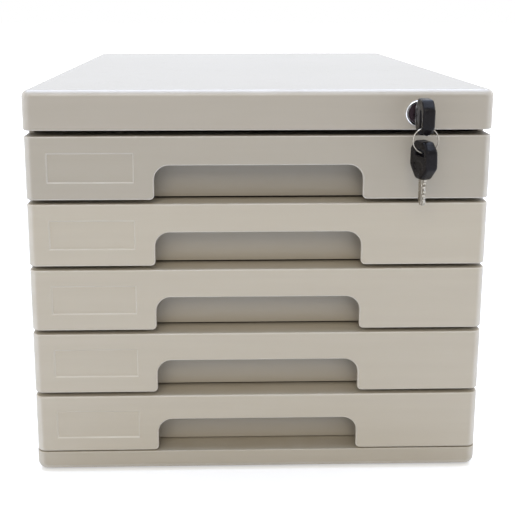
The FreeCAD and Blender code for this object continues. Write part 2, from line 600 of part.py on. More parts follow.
def make_key_head(name):
    """A key's plastic head, from its neck at the origin along -Y, with a slot and a tie for the ring."""
    body = new_body(name)
    half = "(head_thick / 2)"
    block(body, "outside", (minus(half), half), ("-head_length", "0"), ("-head_half", "head_half"))
    side = body.Shape.BoundBox.XMax
    dress(body, "Chamfer", "corners", "head_corner", lambda e, m: runs_along(e, "x"))
    dress(body, "Fillet", "rounding", "head_round",
          lambda e, m: near(abs(m.x), side) and near(e.BoundBox.XLength, 0))
    middle = "(slot_from_end - head_length)"
    block(body, "slot", ("-head_thick", "head_thick"),
          (middle + " - slot_width / 2", middle + " + slot_width / 2"),
          ("-head_half - %s" % PAST, "slot_top"), cut=True)
    rod(body, "tie", "tie_radius", "slot_width + 2 * wire_radius",
        ("0", middle + " - slot_width / 2 - wire_radius", "-tie_offset"), "y")
    return body


def make_key_blade(name, length):
    """A key's steel blade, from its neck at the origin along +Y, with the cuts along its lower edge."""
    body = new_body(name)
    block(body, "strip", ("-key_thick / 2", "key_thick / 2"), ("0", length),
          ("-key_wide / 2", "key_wide / 2"))
    far = body.Shape.BoundBox.YMax
    dress(body, "Chamfer", "tip", "key_wide / 3", lambda e, m: runs_along(e, "x") and near(m.y, far))
    for number, radius in enumerate((1.1, 1.5, 1.0, 1.4)):
        rod(body, "cut_%d" % number, "%s" % radius, "key_thick + 2 * %s" % PAST,
            ("-key_thick / 2 - %s" % PAST, "%s - cut_first - %d * cut_step" % (length, number),
             "-key_wide / 2"), "x", cut=True)
    return body


def place_in_lock(thing):
    bind(thing, Placement__Base__x=LOCK_X, Placement__Base__y=NECK, Placement__Base__z=LOCK_Z)


def place_on_ring(thing):
    """The spare key hangs with its blade down, turned a little about the vertical."""
    hang = FreeCAD.Rotation(FreeCAD.Vector(1, 0, 0), -90)
    turn = FreeCAD.Rotation(FreeCAD.Vector(0, 0, 1), SIZE["spare_turn"])
    thing.Placement.Rotation = turn.multiply(hang)
    slot_edge = "(head_length - slot_from_end + slot_width / 2)"
    bind(thing, Placement__Base__x=LOCK_X, Placement__Base__y=RING_Y + " + spare_behind",
         Placement__Base__z="%s - ring_radius + spare_lift - %s" % (RING_Z, slot_edge))


def make_ring():
    ring = doc.addObject("Part::Torus", "key_ring")
    ring.Label = "key_ring"
    ring.Placement.Rotation = FreeCAD.Rotation(FreeCAD.Vector(1, 0, 0), 90)
    bind(ring, Radius1="ring_radius", Radius2="wire_radius", Placement__Base__x=LOCK_X,
         Placement__Base__y=RING_Y, Placement__Base__z=RING_Z)
    doc.recompute()
    return ring


nodes = [make_cover(), make_base(), make_side("right_side_panel", 1), make_side("left_side_panel", -1),
         make_back(), make_feet(), make_cover_screws(), make_base_screws(), make_bar_screws(), make_bar(),
         make_bar_teeth()]
for drawer in range(1, 6):
    nodes += [make_front(drawer), make_tray(drawer), make_catch(drawer), make_front_screws(drawer)]
nodes += [make_lock_housing(), make_lock_nut(), make_lock_plug(), make_lock_cam(), make_cam_screw(),
          make_ring()]

in_lock = [make_key_head("key_head"),
           make_key_blade("key_blade", "(%s + key_in_plug - %s)" % (PLUG_FACE, NECK))]
spare = [make_key_head("spare_key_head"), make_key_blade("spare_key_blade", "spare_blade")]
for piece in in_lock:
    place_in_lock(piece)
for piece in spare:
    place_on_ring(piece)
nodes += in_lock + spare
doc.recompute()

for item in doc.Objects:
    if any(word in ("Invalid", "Error") for word in item.State):
        raise ValueError("%s did not recompute: %s" % (item.Name, item.State))
for node in nodes:
    if node.Shape.isNull() or not node.Shape.isValid() or node.Shape.Volume <= 0:
        raise ValueError(node.Label + " has no valid shape")

os.makedirs("parts", exist_ok=True)
for node in nodes:
    node.Shape.exportStep("parts/%s.step" % node.Label)
    print("%-18s %9.1f mm3" % (node.Label, node.Shape.Volume), node.Shape.BoundBox)
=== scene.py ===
# %% [markdown]
# # A desktop file cabinet with five drawers
# The cabinet stands on a table. Its cover, base and drawers are moulded in warm grey plastic, a small cam
# lock sits in the cover, and two keys with black heads hang on a split ring. This notebook dresses the
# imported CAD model: most of its pieces keep their shapes and get finishes, and the keys and their ring are
# made anew.

# %% Load the frame
import math

import bpy
import numpy as np
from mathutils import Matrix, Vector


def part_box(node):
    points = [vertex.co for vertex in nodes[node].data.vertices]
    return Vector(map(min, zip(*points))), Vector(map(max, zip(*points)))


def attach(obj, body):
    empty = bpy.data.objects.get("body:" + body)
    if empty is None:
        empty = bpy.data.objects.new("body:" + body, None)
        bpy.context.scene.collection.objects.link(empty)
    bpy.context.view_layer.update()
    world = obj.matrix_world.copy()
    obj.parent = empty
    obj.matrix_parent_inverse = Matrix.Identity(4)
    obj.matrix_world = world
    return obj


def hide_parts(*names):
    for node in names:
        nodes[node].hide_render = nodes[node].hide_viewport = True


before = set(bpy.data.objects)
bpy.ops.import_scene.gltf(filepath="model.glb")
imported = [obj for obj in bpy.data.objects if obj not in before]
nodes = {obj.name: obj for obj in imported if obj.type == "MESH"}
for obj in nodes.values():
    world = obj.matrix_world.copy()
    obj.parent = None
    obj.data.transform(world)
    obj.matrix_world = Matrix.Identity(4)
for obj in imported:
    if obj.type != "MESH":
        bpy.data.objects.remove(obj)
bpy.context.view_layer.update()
MM = 0.001

# %% [markdown]
# ## Camera
# The cabinet is seen from the front, a little from the left, and from about half a metre away. The eye is
# just above the cover, so the cover's top shows as a narrow band. A level camera with its picture shifted
# down would keep the drawers' ends parallel. This one tips down by eleven degrees, so that the fronts narrow
# a little towards the table, and only a small shift is left to bring the cabinet to the middle of the
# picture.

# %% Camera
SENSOR_WIDTH = 36.0
FOCAL_TO_WIDTH = 866.0 / 515.0
PITCH, YAW = math.radians(11.30), math.radians(1.37)
EYE = (-27 * MM, -742 * MM, 314 * MM)
camera_data = bpy.data.cameras.new("eye")
camera_data.sensor_width = SENSOR_WIDTH
camera_data.lens = FOCAL_TO_WIDTH * SENSOR_WIDTH
camera_data.shift_x, camera_data.shift_y = 0.04, -0.16
camera = bpy.data.objects.new("eye", camera_data)
camera.location = EYE
camera.rotation_euler = (math.pi / 2 - PITCH, 0.0, -YAW)
bpy.context.scene.collection.objects.link(camera)
bpy.context.scene.camera = camera
bpy.context.scene.view_settings.view_transform = "Standard"
print("lens %.1f mm" % camera_data.lens)

# %% [markdown]
# ## Wiring helpers
# Every finish is a small node tree. It could be wired by hand in the shader editor. Here a few helpers add a
# node, set its plain values and join it to others, so that each finish below reads like a recipe: what feeds
# what, and with which numbers.

# %% Wiring helpers
def node(tree, kind, **values):
    """Adds a node. A name that starts with in_ sets an input, by its number or its name, and any other name
    sets a property of the node."""
    made = tree.nodes.new(kind)
    for name, value in values.items():
        if name.startswith("in_"):
            key = name[3:]
            key = int(key) if key.isdigit() else key.replace("_", " ")
            made.inputs[key].default_value = value
        else:
            setattr(made, name, value)
    return made


def math_node(tree, operation, a, b, clamp=False):
    """A Math node over two values, each a socket or a number."""
    made = node(tree, "ShaderNodeMath", operation=operation, use_clamp=clamp)
    for slot_number, value in enumerate((a, b)):
        if isinstance(value, (int, float)):
            made.inputs[slot_number].default_value = value
        else:
            tree.links.new(value, made.inputs[slot_number])
    return made.outputs[0]


def remap(tree, value, low, high, to_low, to_high):
    """Stretches a value from one span to another and holds it inside the new span."""
    made = node(tree, "ShaderNodeMapRange", in_1=low, in_2=high, in_3=to_low, in_4=to_high)
    tree.links.new(value, made.inputs[0])
    return made.outputs[0]


def noise(tree, scale, detail=2.0, stretch=(1, 1, 1), roughness=0.5, offset=(0, 0, 0)):
    """Noise over the piece's own coordinates, in cells per metre, squeezed or stretched along an axis."""
    where = node(tree, "ShaderNodeTexCoord")
    mapping = node(tree, "ShaderNodeMapping", in_Scale=stretch, in_Location=offset)
    made = node(tree, "ShaderNodeTexNoise", in_Scale=scale, in_Detail=detail, in_Roughness=roughness)
    tree.links.new(where.outputs["Object"], mapping.inputs[0])
    tree.links.new(mapping.outputs[0], made.inputs["Vector"])
    return made.outputs["Fac"]


def blend(tree, amount, a, b):
    """Mixes two colours, each a socket or a plain colour, by a socket or a number."""
    made = node(tree, "ShaderNodeMix", data_type="RGBA")
    for key, value in ((0, amount), (6, a), (7, b)):
        if hasattr(value, "is_output"):
            tree.links.new(value, made.inputs[key])
        elif isinstance(value, (int, float)):
            made.inputs[key].default_value = value
        else:
            made.inputs[key].default_value = (*value, 1.0)
    return made.outputs[2]


print("wiring helpers ready")

# %% [markdown]
# ## Groups and finishes
# A node group is like a function. It is built once, it has named inputs, and every material that places it
# sets its own amounts. A finish is a material with one Principled shader. What is the same all over goes
# straight on the shader's own sockets, and only what changes over the surface is wired to it.

# %% Groups and finishes
def new_group(name, inputs, outputs):
    """An empty shader group with float inputs (name, value) and named outputs (name, kind)."""
    tree = bpy.data.node_groups.new(name, "ShaderNodeTree")
    for label, value in inputs:
        socket = tree.interface.new_socket(label, in_out="INPUT", socket_type="NodeSocketFloat")
        socket.default_value = value
    for label, kind in outputs:
        tree.interface.new_socket(label, in_out="OUTPUT", socket_type=kind)
    return tree, tree.nodes.new("NodeGroupInput").outputs, tree.nodes.new("NodeGroupOutput").inputs


def place_group(tree, group, **values):
    """Puts a group into a material with its own values, and gives back the group's outputs."""
    made = tree.nodes.new("ShaderNodeGroup")
    made.node_tree = group
    for name, value in values.items():
        made.inputs[name.replace("_", " ")].default_value = value
    return made.outputs


def new_finish(name, **plain):
    """A material with one Principled shader. Plain values go straight on the shader's own sockets."""
    finish = bpy.data.materials.new(name)
    finish.use_nodes = True
    tree = finish.node_tree
    shader = tree.nodes["Principled BSDF"]
    for key, value in plain.items():
        shader.inputs[key.replace("_", " ")].default_value = value
    return finish, tree, shader


def bump(tree, shader, height, distance):
    """Lets a height from 0 to 1 tilt the surface as relief of that many metres would."""
    made = node(tree, "ShaderNodeBump", in_Distance=distance)
    tree.links.new(height, made.inputs["Height"])
    tree.links.new(made.outputs[0], shader.inputs["Normal"])


print("finish helpers ready")

# %% [markdown]
# ## Shared effects
# Moulded plastic is never flat. Its skin copies the fine spark-eroded grain of the mould, the melt leaves
# faint streaks along the way it ran, and the pigment is a little uneven. Dust settles in patches on what
# faces up. The rounded edges get a painted highlight, broken into patches, so they show paler than the
# flats. Each material could repeat these nodes, but as groups every plastic piece shares them and only the
# amounts differ.

# %% Moulded skin
skin, skin_in, skin_out = new_group("moulded_skin", [("Grain", 1.0), ("Streaks", 1.0)],
                                    [("Tone", "NodeSocketFloat"), ("Height", "NodeSocketFloat"),
                                     ("Gloss Shift", "NodeSocketFloat")])
grain = noise(skin, 2600.0, detail=2.0, roughness=0.6)
pits = noise(skin, 900.0, detail=1.0, offset=(0.3, 0.1, 0.7))
streaks = noise(skin, 9.0, detail=3.0, stretch=(1.0, 1.0, 16.0), roughness=0.55)
cloud = noise(skin, 7.0, detail=2.0, offset=(2.0, 5.0, 1.0))
streak_share = math_node(skin, "MULTIPLY", skin_in[1], 0.6)
tone = math_node(skin, "ADD", math_node(skin, "MULTIPLY", streaks, streak_share),
                 math_node(skin, "MULTIPLY", cloud, 0.4))
height = math_node(skin, "ADD", math_node(skin, "MULTIPLY", grain, skin_in[0]),
                   math_node(skin, "MULTIPLY", pits, 0.5))
skin.links.new(tone, skin_out[0])
skin.links.new(height, skin_out[1])
skin.links.new(remap(skin, pits, 0.3, 0.7, -0.04, 0.04), skin_out[2])
print("group", skin.name)

# %% Settled dust
dust, dust_in, dust_out = new_group("settled_dust", [("Amount", 0.3)], [("Mask", "NodeSocketFloat")])
facing = node(dust, "ShaderNodeNewGeometry")
split = node(dust, "ShaderNodeSeparateXYZ")
dust.links.new(facing.outputs["Normal"], split.inputs[0])
upward = remap(dust, split.outputs["Z"], 0.5, 1.0, 0.0, 1.0)
patches = remap(dust, noise(dust, 30.0, detail=5.0, roughness=0.65), 0.42, 0.75, 0.0, 1.0)
mask = math_node(dust, "MULTIPLY", math_node(dust, "MULTIPLY", upward, patches), dust_in[0], clamp=True)
dust.links.new(mask, dust_out[0])
print("group", dust.name)

# %% Painted edge highlight
edge, edge_in, edge_out = new_group("painted_edge_highlight", [("Amount", 0.5)], [("Mask", "NodeSocketFloat")])
# The square of the normal's part along Y is 1 on a front and 0 on a top or side. In between, the surface
# turns from one to the other.
facing = node(edge, "ShaderNodeNewGeometry")
split = node(edge, "ShaderNodeSeparateXYZ")
edge.links.new(facing.outputs["Normal"], split.inputs[0])
forward = math_node(edge, "MULTIPLY", split.outputs["Y"], split.outputs["Y"])
turning = math_node(edge, "MULTIPLY", remap(edge, forward, 0.02, 0.12, 0.0, 1.0),
                    remap(edge, forward, 0.85, 0.99, 1.0, 0.0))
# Noise breaks the painted edge highlight into patches.
highlight_patches = remap(edge, noise(edge, 45.0, detail=3.0), 0.35, 0.6, 0.65, 1.0)
mask = math_node(edge, "MULTIPLY", math_node(edge, "MULTIPLY", turning, highlight_patches), edge_in[0], clamp=True)
edge.links.new(mask, edge_out[0])
print("group", edge.name)

# %% Fine scratches
scratch, scratch_in, scratch_out = new_group("fine_scratches", [("Amount", 0.3)],
                                             [("Mask", "NodeSocketFloat")])
upright = noise(scratch, 60.0, detail=4.0, stretch=(1.0, 1.0, 22.0), roughness=0.7)
across = noise(scratch, 50.0, detail=4.0, stretch=(20.0, 3.0, 1.0), roughness=0.7)
both = math_node(scratch, "MAXIMUM", remap(scratch, upright, 0.58, 0.72, 0.0, 1.0),
                 remap(scratch, across, 0.6, 0.74, 0.0, 1.0))
scratch.links.new(math_node(scratch, "MULTIPLY", both, scratch_in[0], clamp=True), scratch_out[0])
print("group", scratch.name)

# %% [markdown]
# ## The warm grey plastic
# The cover, fronts, base, panels and trays are moulded in the same warm grey polystyrene. Each piece has
# its own tone: the cover and the base are a little darker than the fronts. The cover is the smoothest, so it
# shows a pale sheen when seen at a low angle. The fronts have a satin skin. The top drawer's front is a
# darker copy of the front plastic, as dark as the cover above it: painted shade under the cover's overhang.
# The trays inside are plainer. Painted shade darkens the insides of the finger recesses. One material for all
# would be quicker, but one function with a tone for each keeps them related and still lets them differ.

# %% Warm grey plastic
# The second tone is a painted highlight on the rounded edges. The third is painted shade inside the finger
# recesses, from the first depth below to the second.
DUST_TONE, EDGE_HIGHLIGHT_TONE, RECESS_SHADE_TONE = (0.72, 0.70, 0.67), (0.84, 0.80, 0.74), (0.22, 0.195, 0.165)
RECESS_SHADE_FROM, RECESS_SHADE_TO = -188 * MM, -183 * MM


def warm_plastic(name, colour, deep, roughness, grain_depth, dust_amount, streak_amount=1.0, rubbing_and_edge_highlight=0.6,
                 recess_shade=0.0):
    """The colour drifts between two tones with the streaks. Dust lightens what faces up, a painted highlight
    pales the rounded edges, painted shade darkens the inside of a finger recess, and the grain is a bump."""
    finish, tree, shader = new_finish(name)
    skin_here = place_group(tree, skin, Grain=1.0, Streaks=streak_amount)
    dust_here = place_group(tree, dust, Amount=dust_amount)
    scratches = place_group(tree, scratch, Amount=0.25)
    edge_highlight_here = place_group(tree, edge, Amount=rubbing_and_edge_highlight)
    drift = remap(tree, skin_here["Tone"], 0.35, 0.65, 0.0, 1.0)
    dusty = blend(tree, dust_here["Mask"], blend(tree, drift, deep, colour), DUST_TONE)
    # Painted highlight: the rounded edges turn paler.
    with_edge_highlight = blend(tree, edge_highlight_here["Mask"], dusty, EDGE_HIGHLIGHT_TONE)
    where = node(tree, "ShaderNodeTexCoord")
    place = node(tree, "ShaderNodeSeparateXYZ")
    tree.links.new(where.outputs["Object"], place.inputs[0])
    # Painted shade: the colour darkens from the first depth to the second and stays dark behind them.
    recess_shade_mask = remap(tree, place.outputs["Y"], RECESS_SHADE_FROM, RECESS_SHADE_TO, 0.0, recess_shade)
    tree.links.new(blend(tree, recess_shade_mask, with_edge_highlight, RECESS_SHADE_TONE), shader.inputs["Base Color"])
    gloss = math_node(tree, "ADD", skin_here["Gloss Shift"], roughness)
    gloss = math_node(tree, "ADD", gloss, math_node(tree, "MULTIPLY", scratches["Mask"], 0.25))
    gloss = math_node(tree, "ADD", gloss, math_node(tree, "MULTIPLY", dust_here["Mask"], 0.3), clamp=True)
    tree.links.new(gloss, shader.inputs["Roughness"])
    bump(tree, shader, skin_here["Height"], grain_depth)
    return finish


# The painted shade inside the finger recesses begins and ends at these depths.
print("fingers reach in from y = %.0f to %.0f mm" % (RECESS_SHADE_FROM / MM, RECESS_SHADE_TO / MM))

# %% The plastics
cover_plastic = warm_plastic("cover_plastic", (0.475, 0.426, 0.354), (0.459, 0.411, 0.34), 0.32, 0.00002,
                             0.06, rubbing_and_edge_highlight=0.3)
front_plastic = warm_plastic("front_plastic", (0.565, 0.506, 0.408), (0.543, 0.484, 0.389), 0.42, 0.00004,
                             0.12, rubbing_and_edge_highlight=0.4, recess_shade=0.3)
# The top drawer's front is the front plastic made darker: painted shade under the cover's overhang.
front_plastic_painted_shade = warm_plastic("front_plastic_painted_shade", (0.468, 0.422, 0.349), (0.452, 0.406, 0.333), 0.42,
                                   0.00004, 0.12, rubbing_and_edge_highlight=0.5, recess_shade=0.25)
body_plastic = warm_plastic("body_plastic", (0.545, 0.487, 0.395), (0.525, 0.467, 0.377), 0.46, 0.00005, 0.12)
base_plastic = warm_plastic("base_plastic", (0.50, 0.445, 0.356), (0.48, 0.425, 0.338), 0.44, 0.00005, 0.15,
                            rubbing_and_edge_highlight=0.3)
tray_plastic = warm_plastic("tray_plastic", (0.50, 0.455, 0.39), (0.475, 0.43, 0.37), 0.5, 0.00004, 0.12,
                            streak_amount=0.6, rubbing_and_edge_highlight=0.3)
print("plastics", [m.name for m in bpy.data.materials if "plastic" in m.name])

# %% [markdown]
# ## Metals
# The bar, its teeth, the cam, catches and screws are zinc-plated steel with a blotchy, soft shine. The key
# blades and the ring are nickel-plated and dulled by pockets and fingers. The face of the lock's plug lies
# deep in the housing, and its colour is painted shade, almost black. They differ only in colour and shine, so
# one function makes all three.

# %% Zinc, nickel and the lock plug
def plated_metal(name, colour, dull_and_shaded_tone, low, high, lump, lump_depth):
    """Metal whose colour and shine drift between two states with a blotchy mask, with scratches on top."""
    finish, tree, shader = new_finish(name, Metallic=1.0)
    scratches = place_group(tree, scratch, Amount=0.8)
    blotch = remap(tree, noise(tree, lump, detail=4.0, roughness=0.6), 0.35, 0.7, 0.0, 1.0)
    tree.links.new(blend(tree, blotch, colour, dull_and_shaded_tone), shader.inputs["Base Color"])
    shine = remap(tree, blotch, 0.0, 1.0, low, high)
    shine = math_node(tree, "ADD", shine, math_node(tree, "MULTIPLY", scratches["Mask"], 0.18), clamp=True)
    tree.links.new(shine, shader.inputs["Roughness"])
    bump(tree, shader, blotch, lump_depth)
    return finish


zinc = plated_metal("zinc_plated_steel", (0.66, 0.66, 0.67), (0.50, 0.51, 0.53), 0.28, 0.46, 90.0, 0.00002)
nickel = plated_metal("key_nickel", (0.48, 0.445, 0.39), (0.34, 0.315, 0.27), 0.22, 0.38, 260.0, 0.00001)
# The plug's two tones are both nearly black: painted shade, deep in the housing.
plug_metal_painted_shade = plated_metal("plug_chrome_painted_shade", (0.12, 0.085, 0.10), (0.07, 0.045, 0.055), 0.25, 0.5, 300.0, 0.00001)
print("metals", [m.name for m in (zinc, nickel, plug_metal_painted_shade)])

# %% [markdown]
# ## Black key plastic and rubber feet
# The key heads are satin black ABS with a slight warm cast, rubbed glossier in patches, with fine grey
# scratches from lying among other keys. The feet are dead matte rubber, greyed by dust. One flat black would
# make both look like holes, so each drifts between two dark tones and two degrees of shine.

# %% Black plastic
key_black, tree, shader = new_finish("key_black", Specular_IOR_Level=0.14)
skin_here = place_group(tree, skin, Grain=0.6, Streaks=0.4)
scratches = place_group(tree, scratch, Amount=0.7)
rubbing_and_edge_highlight = remap(tree, noise(tree, 120.0, detail=3.0), 0.35, 0.65, 0.0, 1.0)
base_black = blend(tree, rubbing_and_edge_highlight, (0.005, 0.004, 0.0048), (0.0085, 0.0068, 0.008))
tree.links.new(blend(tree, scratches["Mask"], base_black, (0.026, 0.024, 0.026)), shader.inputs["Base Color"])
tree.links.new(remap(tree, rubbing_and_edge_highlight, 0.0, 1.0, 0.2, 0.34), shader.inputs["Roughness"])
bump(tree, shader, skin_here["Height"], 0.00004)
print("finish", key_black.name)

# %% Rubber
rubber, tree, shader = new_finish("foot_rubber", Specular_IOR_Level=0.3)
dust_here = place_group(tree, dust, Amount=0.5)
speck = noise(tree, 700.0, detail=3.0)
worn = blend(tree, remap(tree, speck, 0.4, 0.7, 0.0, 1.0), (0.022, 0.022, 0.023), (0.06, 0.058, 0.055))
tree.links.new(blend(tree, dust_here["Mask"], worn, (0.3, 0.29, 0.27)), shader.inputs["Base Color"])
tree.links.new(remap(tree, speck, 0.3, 0.7, 0.75, 0.95), shader.inputs["Roughness"])
bump(tree, shader, speck, 0.00008)
print("finish", rubber.name)

# %% [markdown]
# ## The chromed lock housing
# Only the outer rim of the housing is polished. Down in its dish and bore the chrome is dull, hardly any
# light gets in, and that shade is painted into the colour as a near-black tone. Two materials would need the
# faces sorted by hand. Here one finish covers both, with the distance from the lock's axis as the mask
# between them.

# %% Lock housing
RIM_FROM, RIM_TO = 6.45 * MM, 6.75 * MM
lock_low, lock_high = (np.array(corner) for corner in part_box("lock_plug"))
lock_x, lock_z = (lock_low[0] + lock_high[0]) / 2, (lock_low[2] + lock_high[2]) / 2
bezel_metal, tree, shader = new_finish("bezel_metal", Metallic=1.0)
where = node(tree, "ShaderNodeTexCoord")
flatten = node(tree, "ShaderNodeMapping", in_Scale=(1.0, 0.0, 1.0), in_Location=(-lock_x, 0.0, -lock_z))
reach = node(tree, "ShaderNodeVectorMath", operation="LENGTH")
tree.links.new(where.outputs["Object"], flatten.inputs[0])
tree.links.new(flatten.outputs[0], reach.inputs[0])
rim = remap(tree, reach.outputs["Value"], RIM_FROM, RIM_TO, 0.0, 1.0)
blotch = remap(tree, noise(tree, 260.0, detail=4.0), 0.35, 0.7, 0.0, 1.0)
# Painted shade: the dish and bore get a near-black tone.
dull_and_shaded_tone = blend(tree, blotch, (0.045, 0.028, 0.036), (0.08, 0.055, 0.066))
bright = blend(tree, blotch, (0.80, 0.80, 0.81), (0.68, 0.68, 0.70))
tree.links.new(blend(tree, rim, dull_and_shaded_tone, bright), shader.inputs["Base Color"])
tree.links.new(remap(tree, rim, 0.0, 1.0, 0.5, 0.12), shader.inputs["Roughness"])
bump(tree, shader, blotch, 0.00001)
print("lock axis at", round(lock_x / MM, 2), round(lock_z / MM, 2))

# %% [markdown]
# ## Finishes onto the CAD pieces
# A CAD piece whose shape is right needs no new mesh, which could only be worse than the solid it copies. So
# it stays as it is, and only the material in its slots changes.

# %% Finishes onto the CAD pieces
def dress(finish, *names):
    """Gives every material slot of the named pieces one finish."""
    for name in names:
        thing = nodes[name]
        if not thing.material_slots:
            thing.data.materials.append(finish)
        for each in thing.material_slots:
            each.material = finish


numbers = range(1, 6)
dress(cover_plastic, "top_cover")
dress(base_plastic, "base")
dress(body_plastic, "right_side_panel", "left_side_panel", "back_panel")
dress(front_plastic_painted_shade, "drawer_front_1")
dress(front_plastic, *["drawer_front_%d" % n for n in numbers[1:]])
dress(tray_plastic, *["drawer_tray_%d" % n for n in numbers])
dress(rubber, "feet")
dress(bezel_metal, "lock_housing")
dress(plug_metal_painted_shade, "lock_plug")
dress(zinc, "lock_nut", "lock_cam", "cam_screw", "locking_bar", "bar_teeth", "bar_screws", "cover_screws",
      "base_screws", *["front_screws_%d" % n for n in numbers], *["lock_catch_%d" % n for n in numbers])
print("dressed", len(nodes))

# %% [markdown]
# ## Surfaces from arrays
# New pieces could be modelled with modifiers, but a grid of points worked out by a formula is exact and easy
# to change. A grid has rows and columns, and each can be open or run round in a loop. The helper joins
# neighbours into quads and can close the first and the last row with one many-sided face each.

# %% Surfaces from arrays
def grid_mesh(name, points, loop_rows=False, loop_columns=True, caps=False):
    """A mesh from an array of shape (rows, columns, 3). Quad (i, j) joins points i and i + 1 along the rows
    with j and j + 1 along the columns, modulo their counts where they loop. With caps the first and last
    rows become faces, wound the opposite ways round, so the shell is closed."""
    rows, columns = points.shape[:2]
    index = np.arange(rows * columns).reshape(rows, columns)
    ahead = np.roll(index, -1, axis=0) if loop_rows else index[1:]
    here = index if loop_rows else index[:-1]
    if loop_columns:
        quads = np.stack([here, np.roll(here, -1, axis=1), np.roll(ahead, -1, axis=1), ahead], axis=-1)
    else:
        quads = np.stack([here[:, :-1], here[:, 1:], ahead[:, 1:], ahead[:, :-1]], axis=-1)
    faces = quads.reshape(-1, 4).tolist()
    if caps:
        faces += [index[0][::-1].tolist(), index[-1].tolist()]
    mesh = bpy.data.meshes.new(name)
    mesh.from_pydata(points.reshape(-1, 3).tolist(), [], faces)
    mesh.update()
    return mesh


print("grid helper ready")

# %% [markdown]
# ## Placing a piece
# A shell that is inside out shades wrongly and can't be printed. Each could be checked by eye. Here the
# volume is added up from the triangles instead. It is negative when they face inwards, and then the helper
# turns them round before it smooths the piece and lets it ride on its body.

# %% Placing a piece
SMOOTH_ANGLE = math.radians(35)


def volume_of(mesh):
    """A sixth of the sum of every triangle's triple product, in cubic millimetres. It is positive when the
    faces point out."""
    mesh.calc_loop_triangles()
    corners = np.empty(len(mesh.vertices) * 3)
    mesh.vertices.foreach_get("co", corners)
    corners = corners.reshape(-1, 3)
    triangles = np.empty(len(mesh.loop_triangles) * 3, dtype=int)
    mesh.loop_triangles.foreach_get("vertices", triangles)
    a, b, c = corners[triangles.reshape(-1, 3)].transpose(1, 0, 2)
    return float(np.einsum("ij,ij->i", a, np.cross(b, c)).sum() / 6) * 1e9


def add_piece(mesh, body, finish, stands_for):
    """Turns the mesh the right way out, smooths it up to an angle, lets it ride on its body, and puts it in
    the place of a CAD piece."""
    if volume_of(mesh) < 0:
        mesh.flip_normals()
    piece = bpy.data.objects.new(mesh.name, mesh)
    bpy.context.scene.collection.objects.link(piece)
    mesh.materials.append(finish)
    mesh.set_sharp_from_angle(angle=SMOOTH_ANGLE)
    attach(piece, body)
    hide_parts(stands_for)
    print("%-18s %6d faces %9.1f mm3" % (mesh.name, len(mesh.polygons), volume_of(mesh)))


def centre_and_size(name):
    """The middle and the size of a CAD piece's box, in metres."""
    low, high = (np.array(corner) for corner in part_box(name))
    return (low + high) / 2, high - low


print("pieces turn sharp over %.0f degrees" % math.degrees(SMOOTH_ANGLE))

# %% [markdown]
# ## The key heads
# Each head is a block of black plastic moulded over the blade, with cut corners, soft edges, a shallow plain
# hollow on both flats and a slot through it for the ring. Below the slot of the key in the lock only a thin
# round tie is left, and the ring hangs on that. A Boolean cut with bevels could make it, but a head with one
# hole through it has the shape of a doughnut, so a single grid makes it with even, soft edges: one direction
# runs round the head, the other round its section, from the outline over the flat to the slot and back.

# %% A soft-cornered outline
def outline(angle, distances, softness):
    """Distance from the centre to a polygon's edge in each direction: the sides lie at the given distances
    along the given directions, and the reach is one over the p-norm of (cosine to each side / its
    distance), which rounds the corners more as the power p falls."""
    total = 0.0
    for toward, distance in distances:
        total = total + np.clip(np.cos(angle - math.radians(toward)) / distance, 0.0, None) ** softness
    return total ** (-1.0 / softness)


print("reach along +z %.2f mm" % outline(np.array(math.pi / 2), [(90, 11.2), (45, 12.5), (135, 12.5)], 12.0))

# %% A key head
# Sizes in millimetres, with the neck at the origin and the head along -Y. A side is a direction in degrees
# with its distance from the middle.
HEAD_HALF, HEAD_ROUND, HEAD_MIDDLE = 3.75, 1.6, -12.0
HEAD_SIDES = [(0, 12.0), (180, 12.0), (90, 11.2), (270, 11.2), (45, 11.2), (315, 11.2), (135, 12.5),
              (225, 12.5)]
SLOT_ROUND, SLOT_Y, SLOT_Z, SLOT_BOTTOM = 0.6, -17.0, -1.3, -6.6
SLOT_SIDES = [(0, 2.1), (180, 2.1), (90, 5.7), (270, 5.7)]
TIE_RADIUS, TIE_Z, TIE_HALF, TIE_BLEND = 2.0, -9.0, 2.3, 0.9
HOLLOW_Y, HOLLOW_SPAN_Y, HOLLOW_SPAN_Z, HOLLOW_DEPTH = -8.4, 3.6, 6.4, 0.3


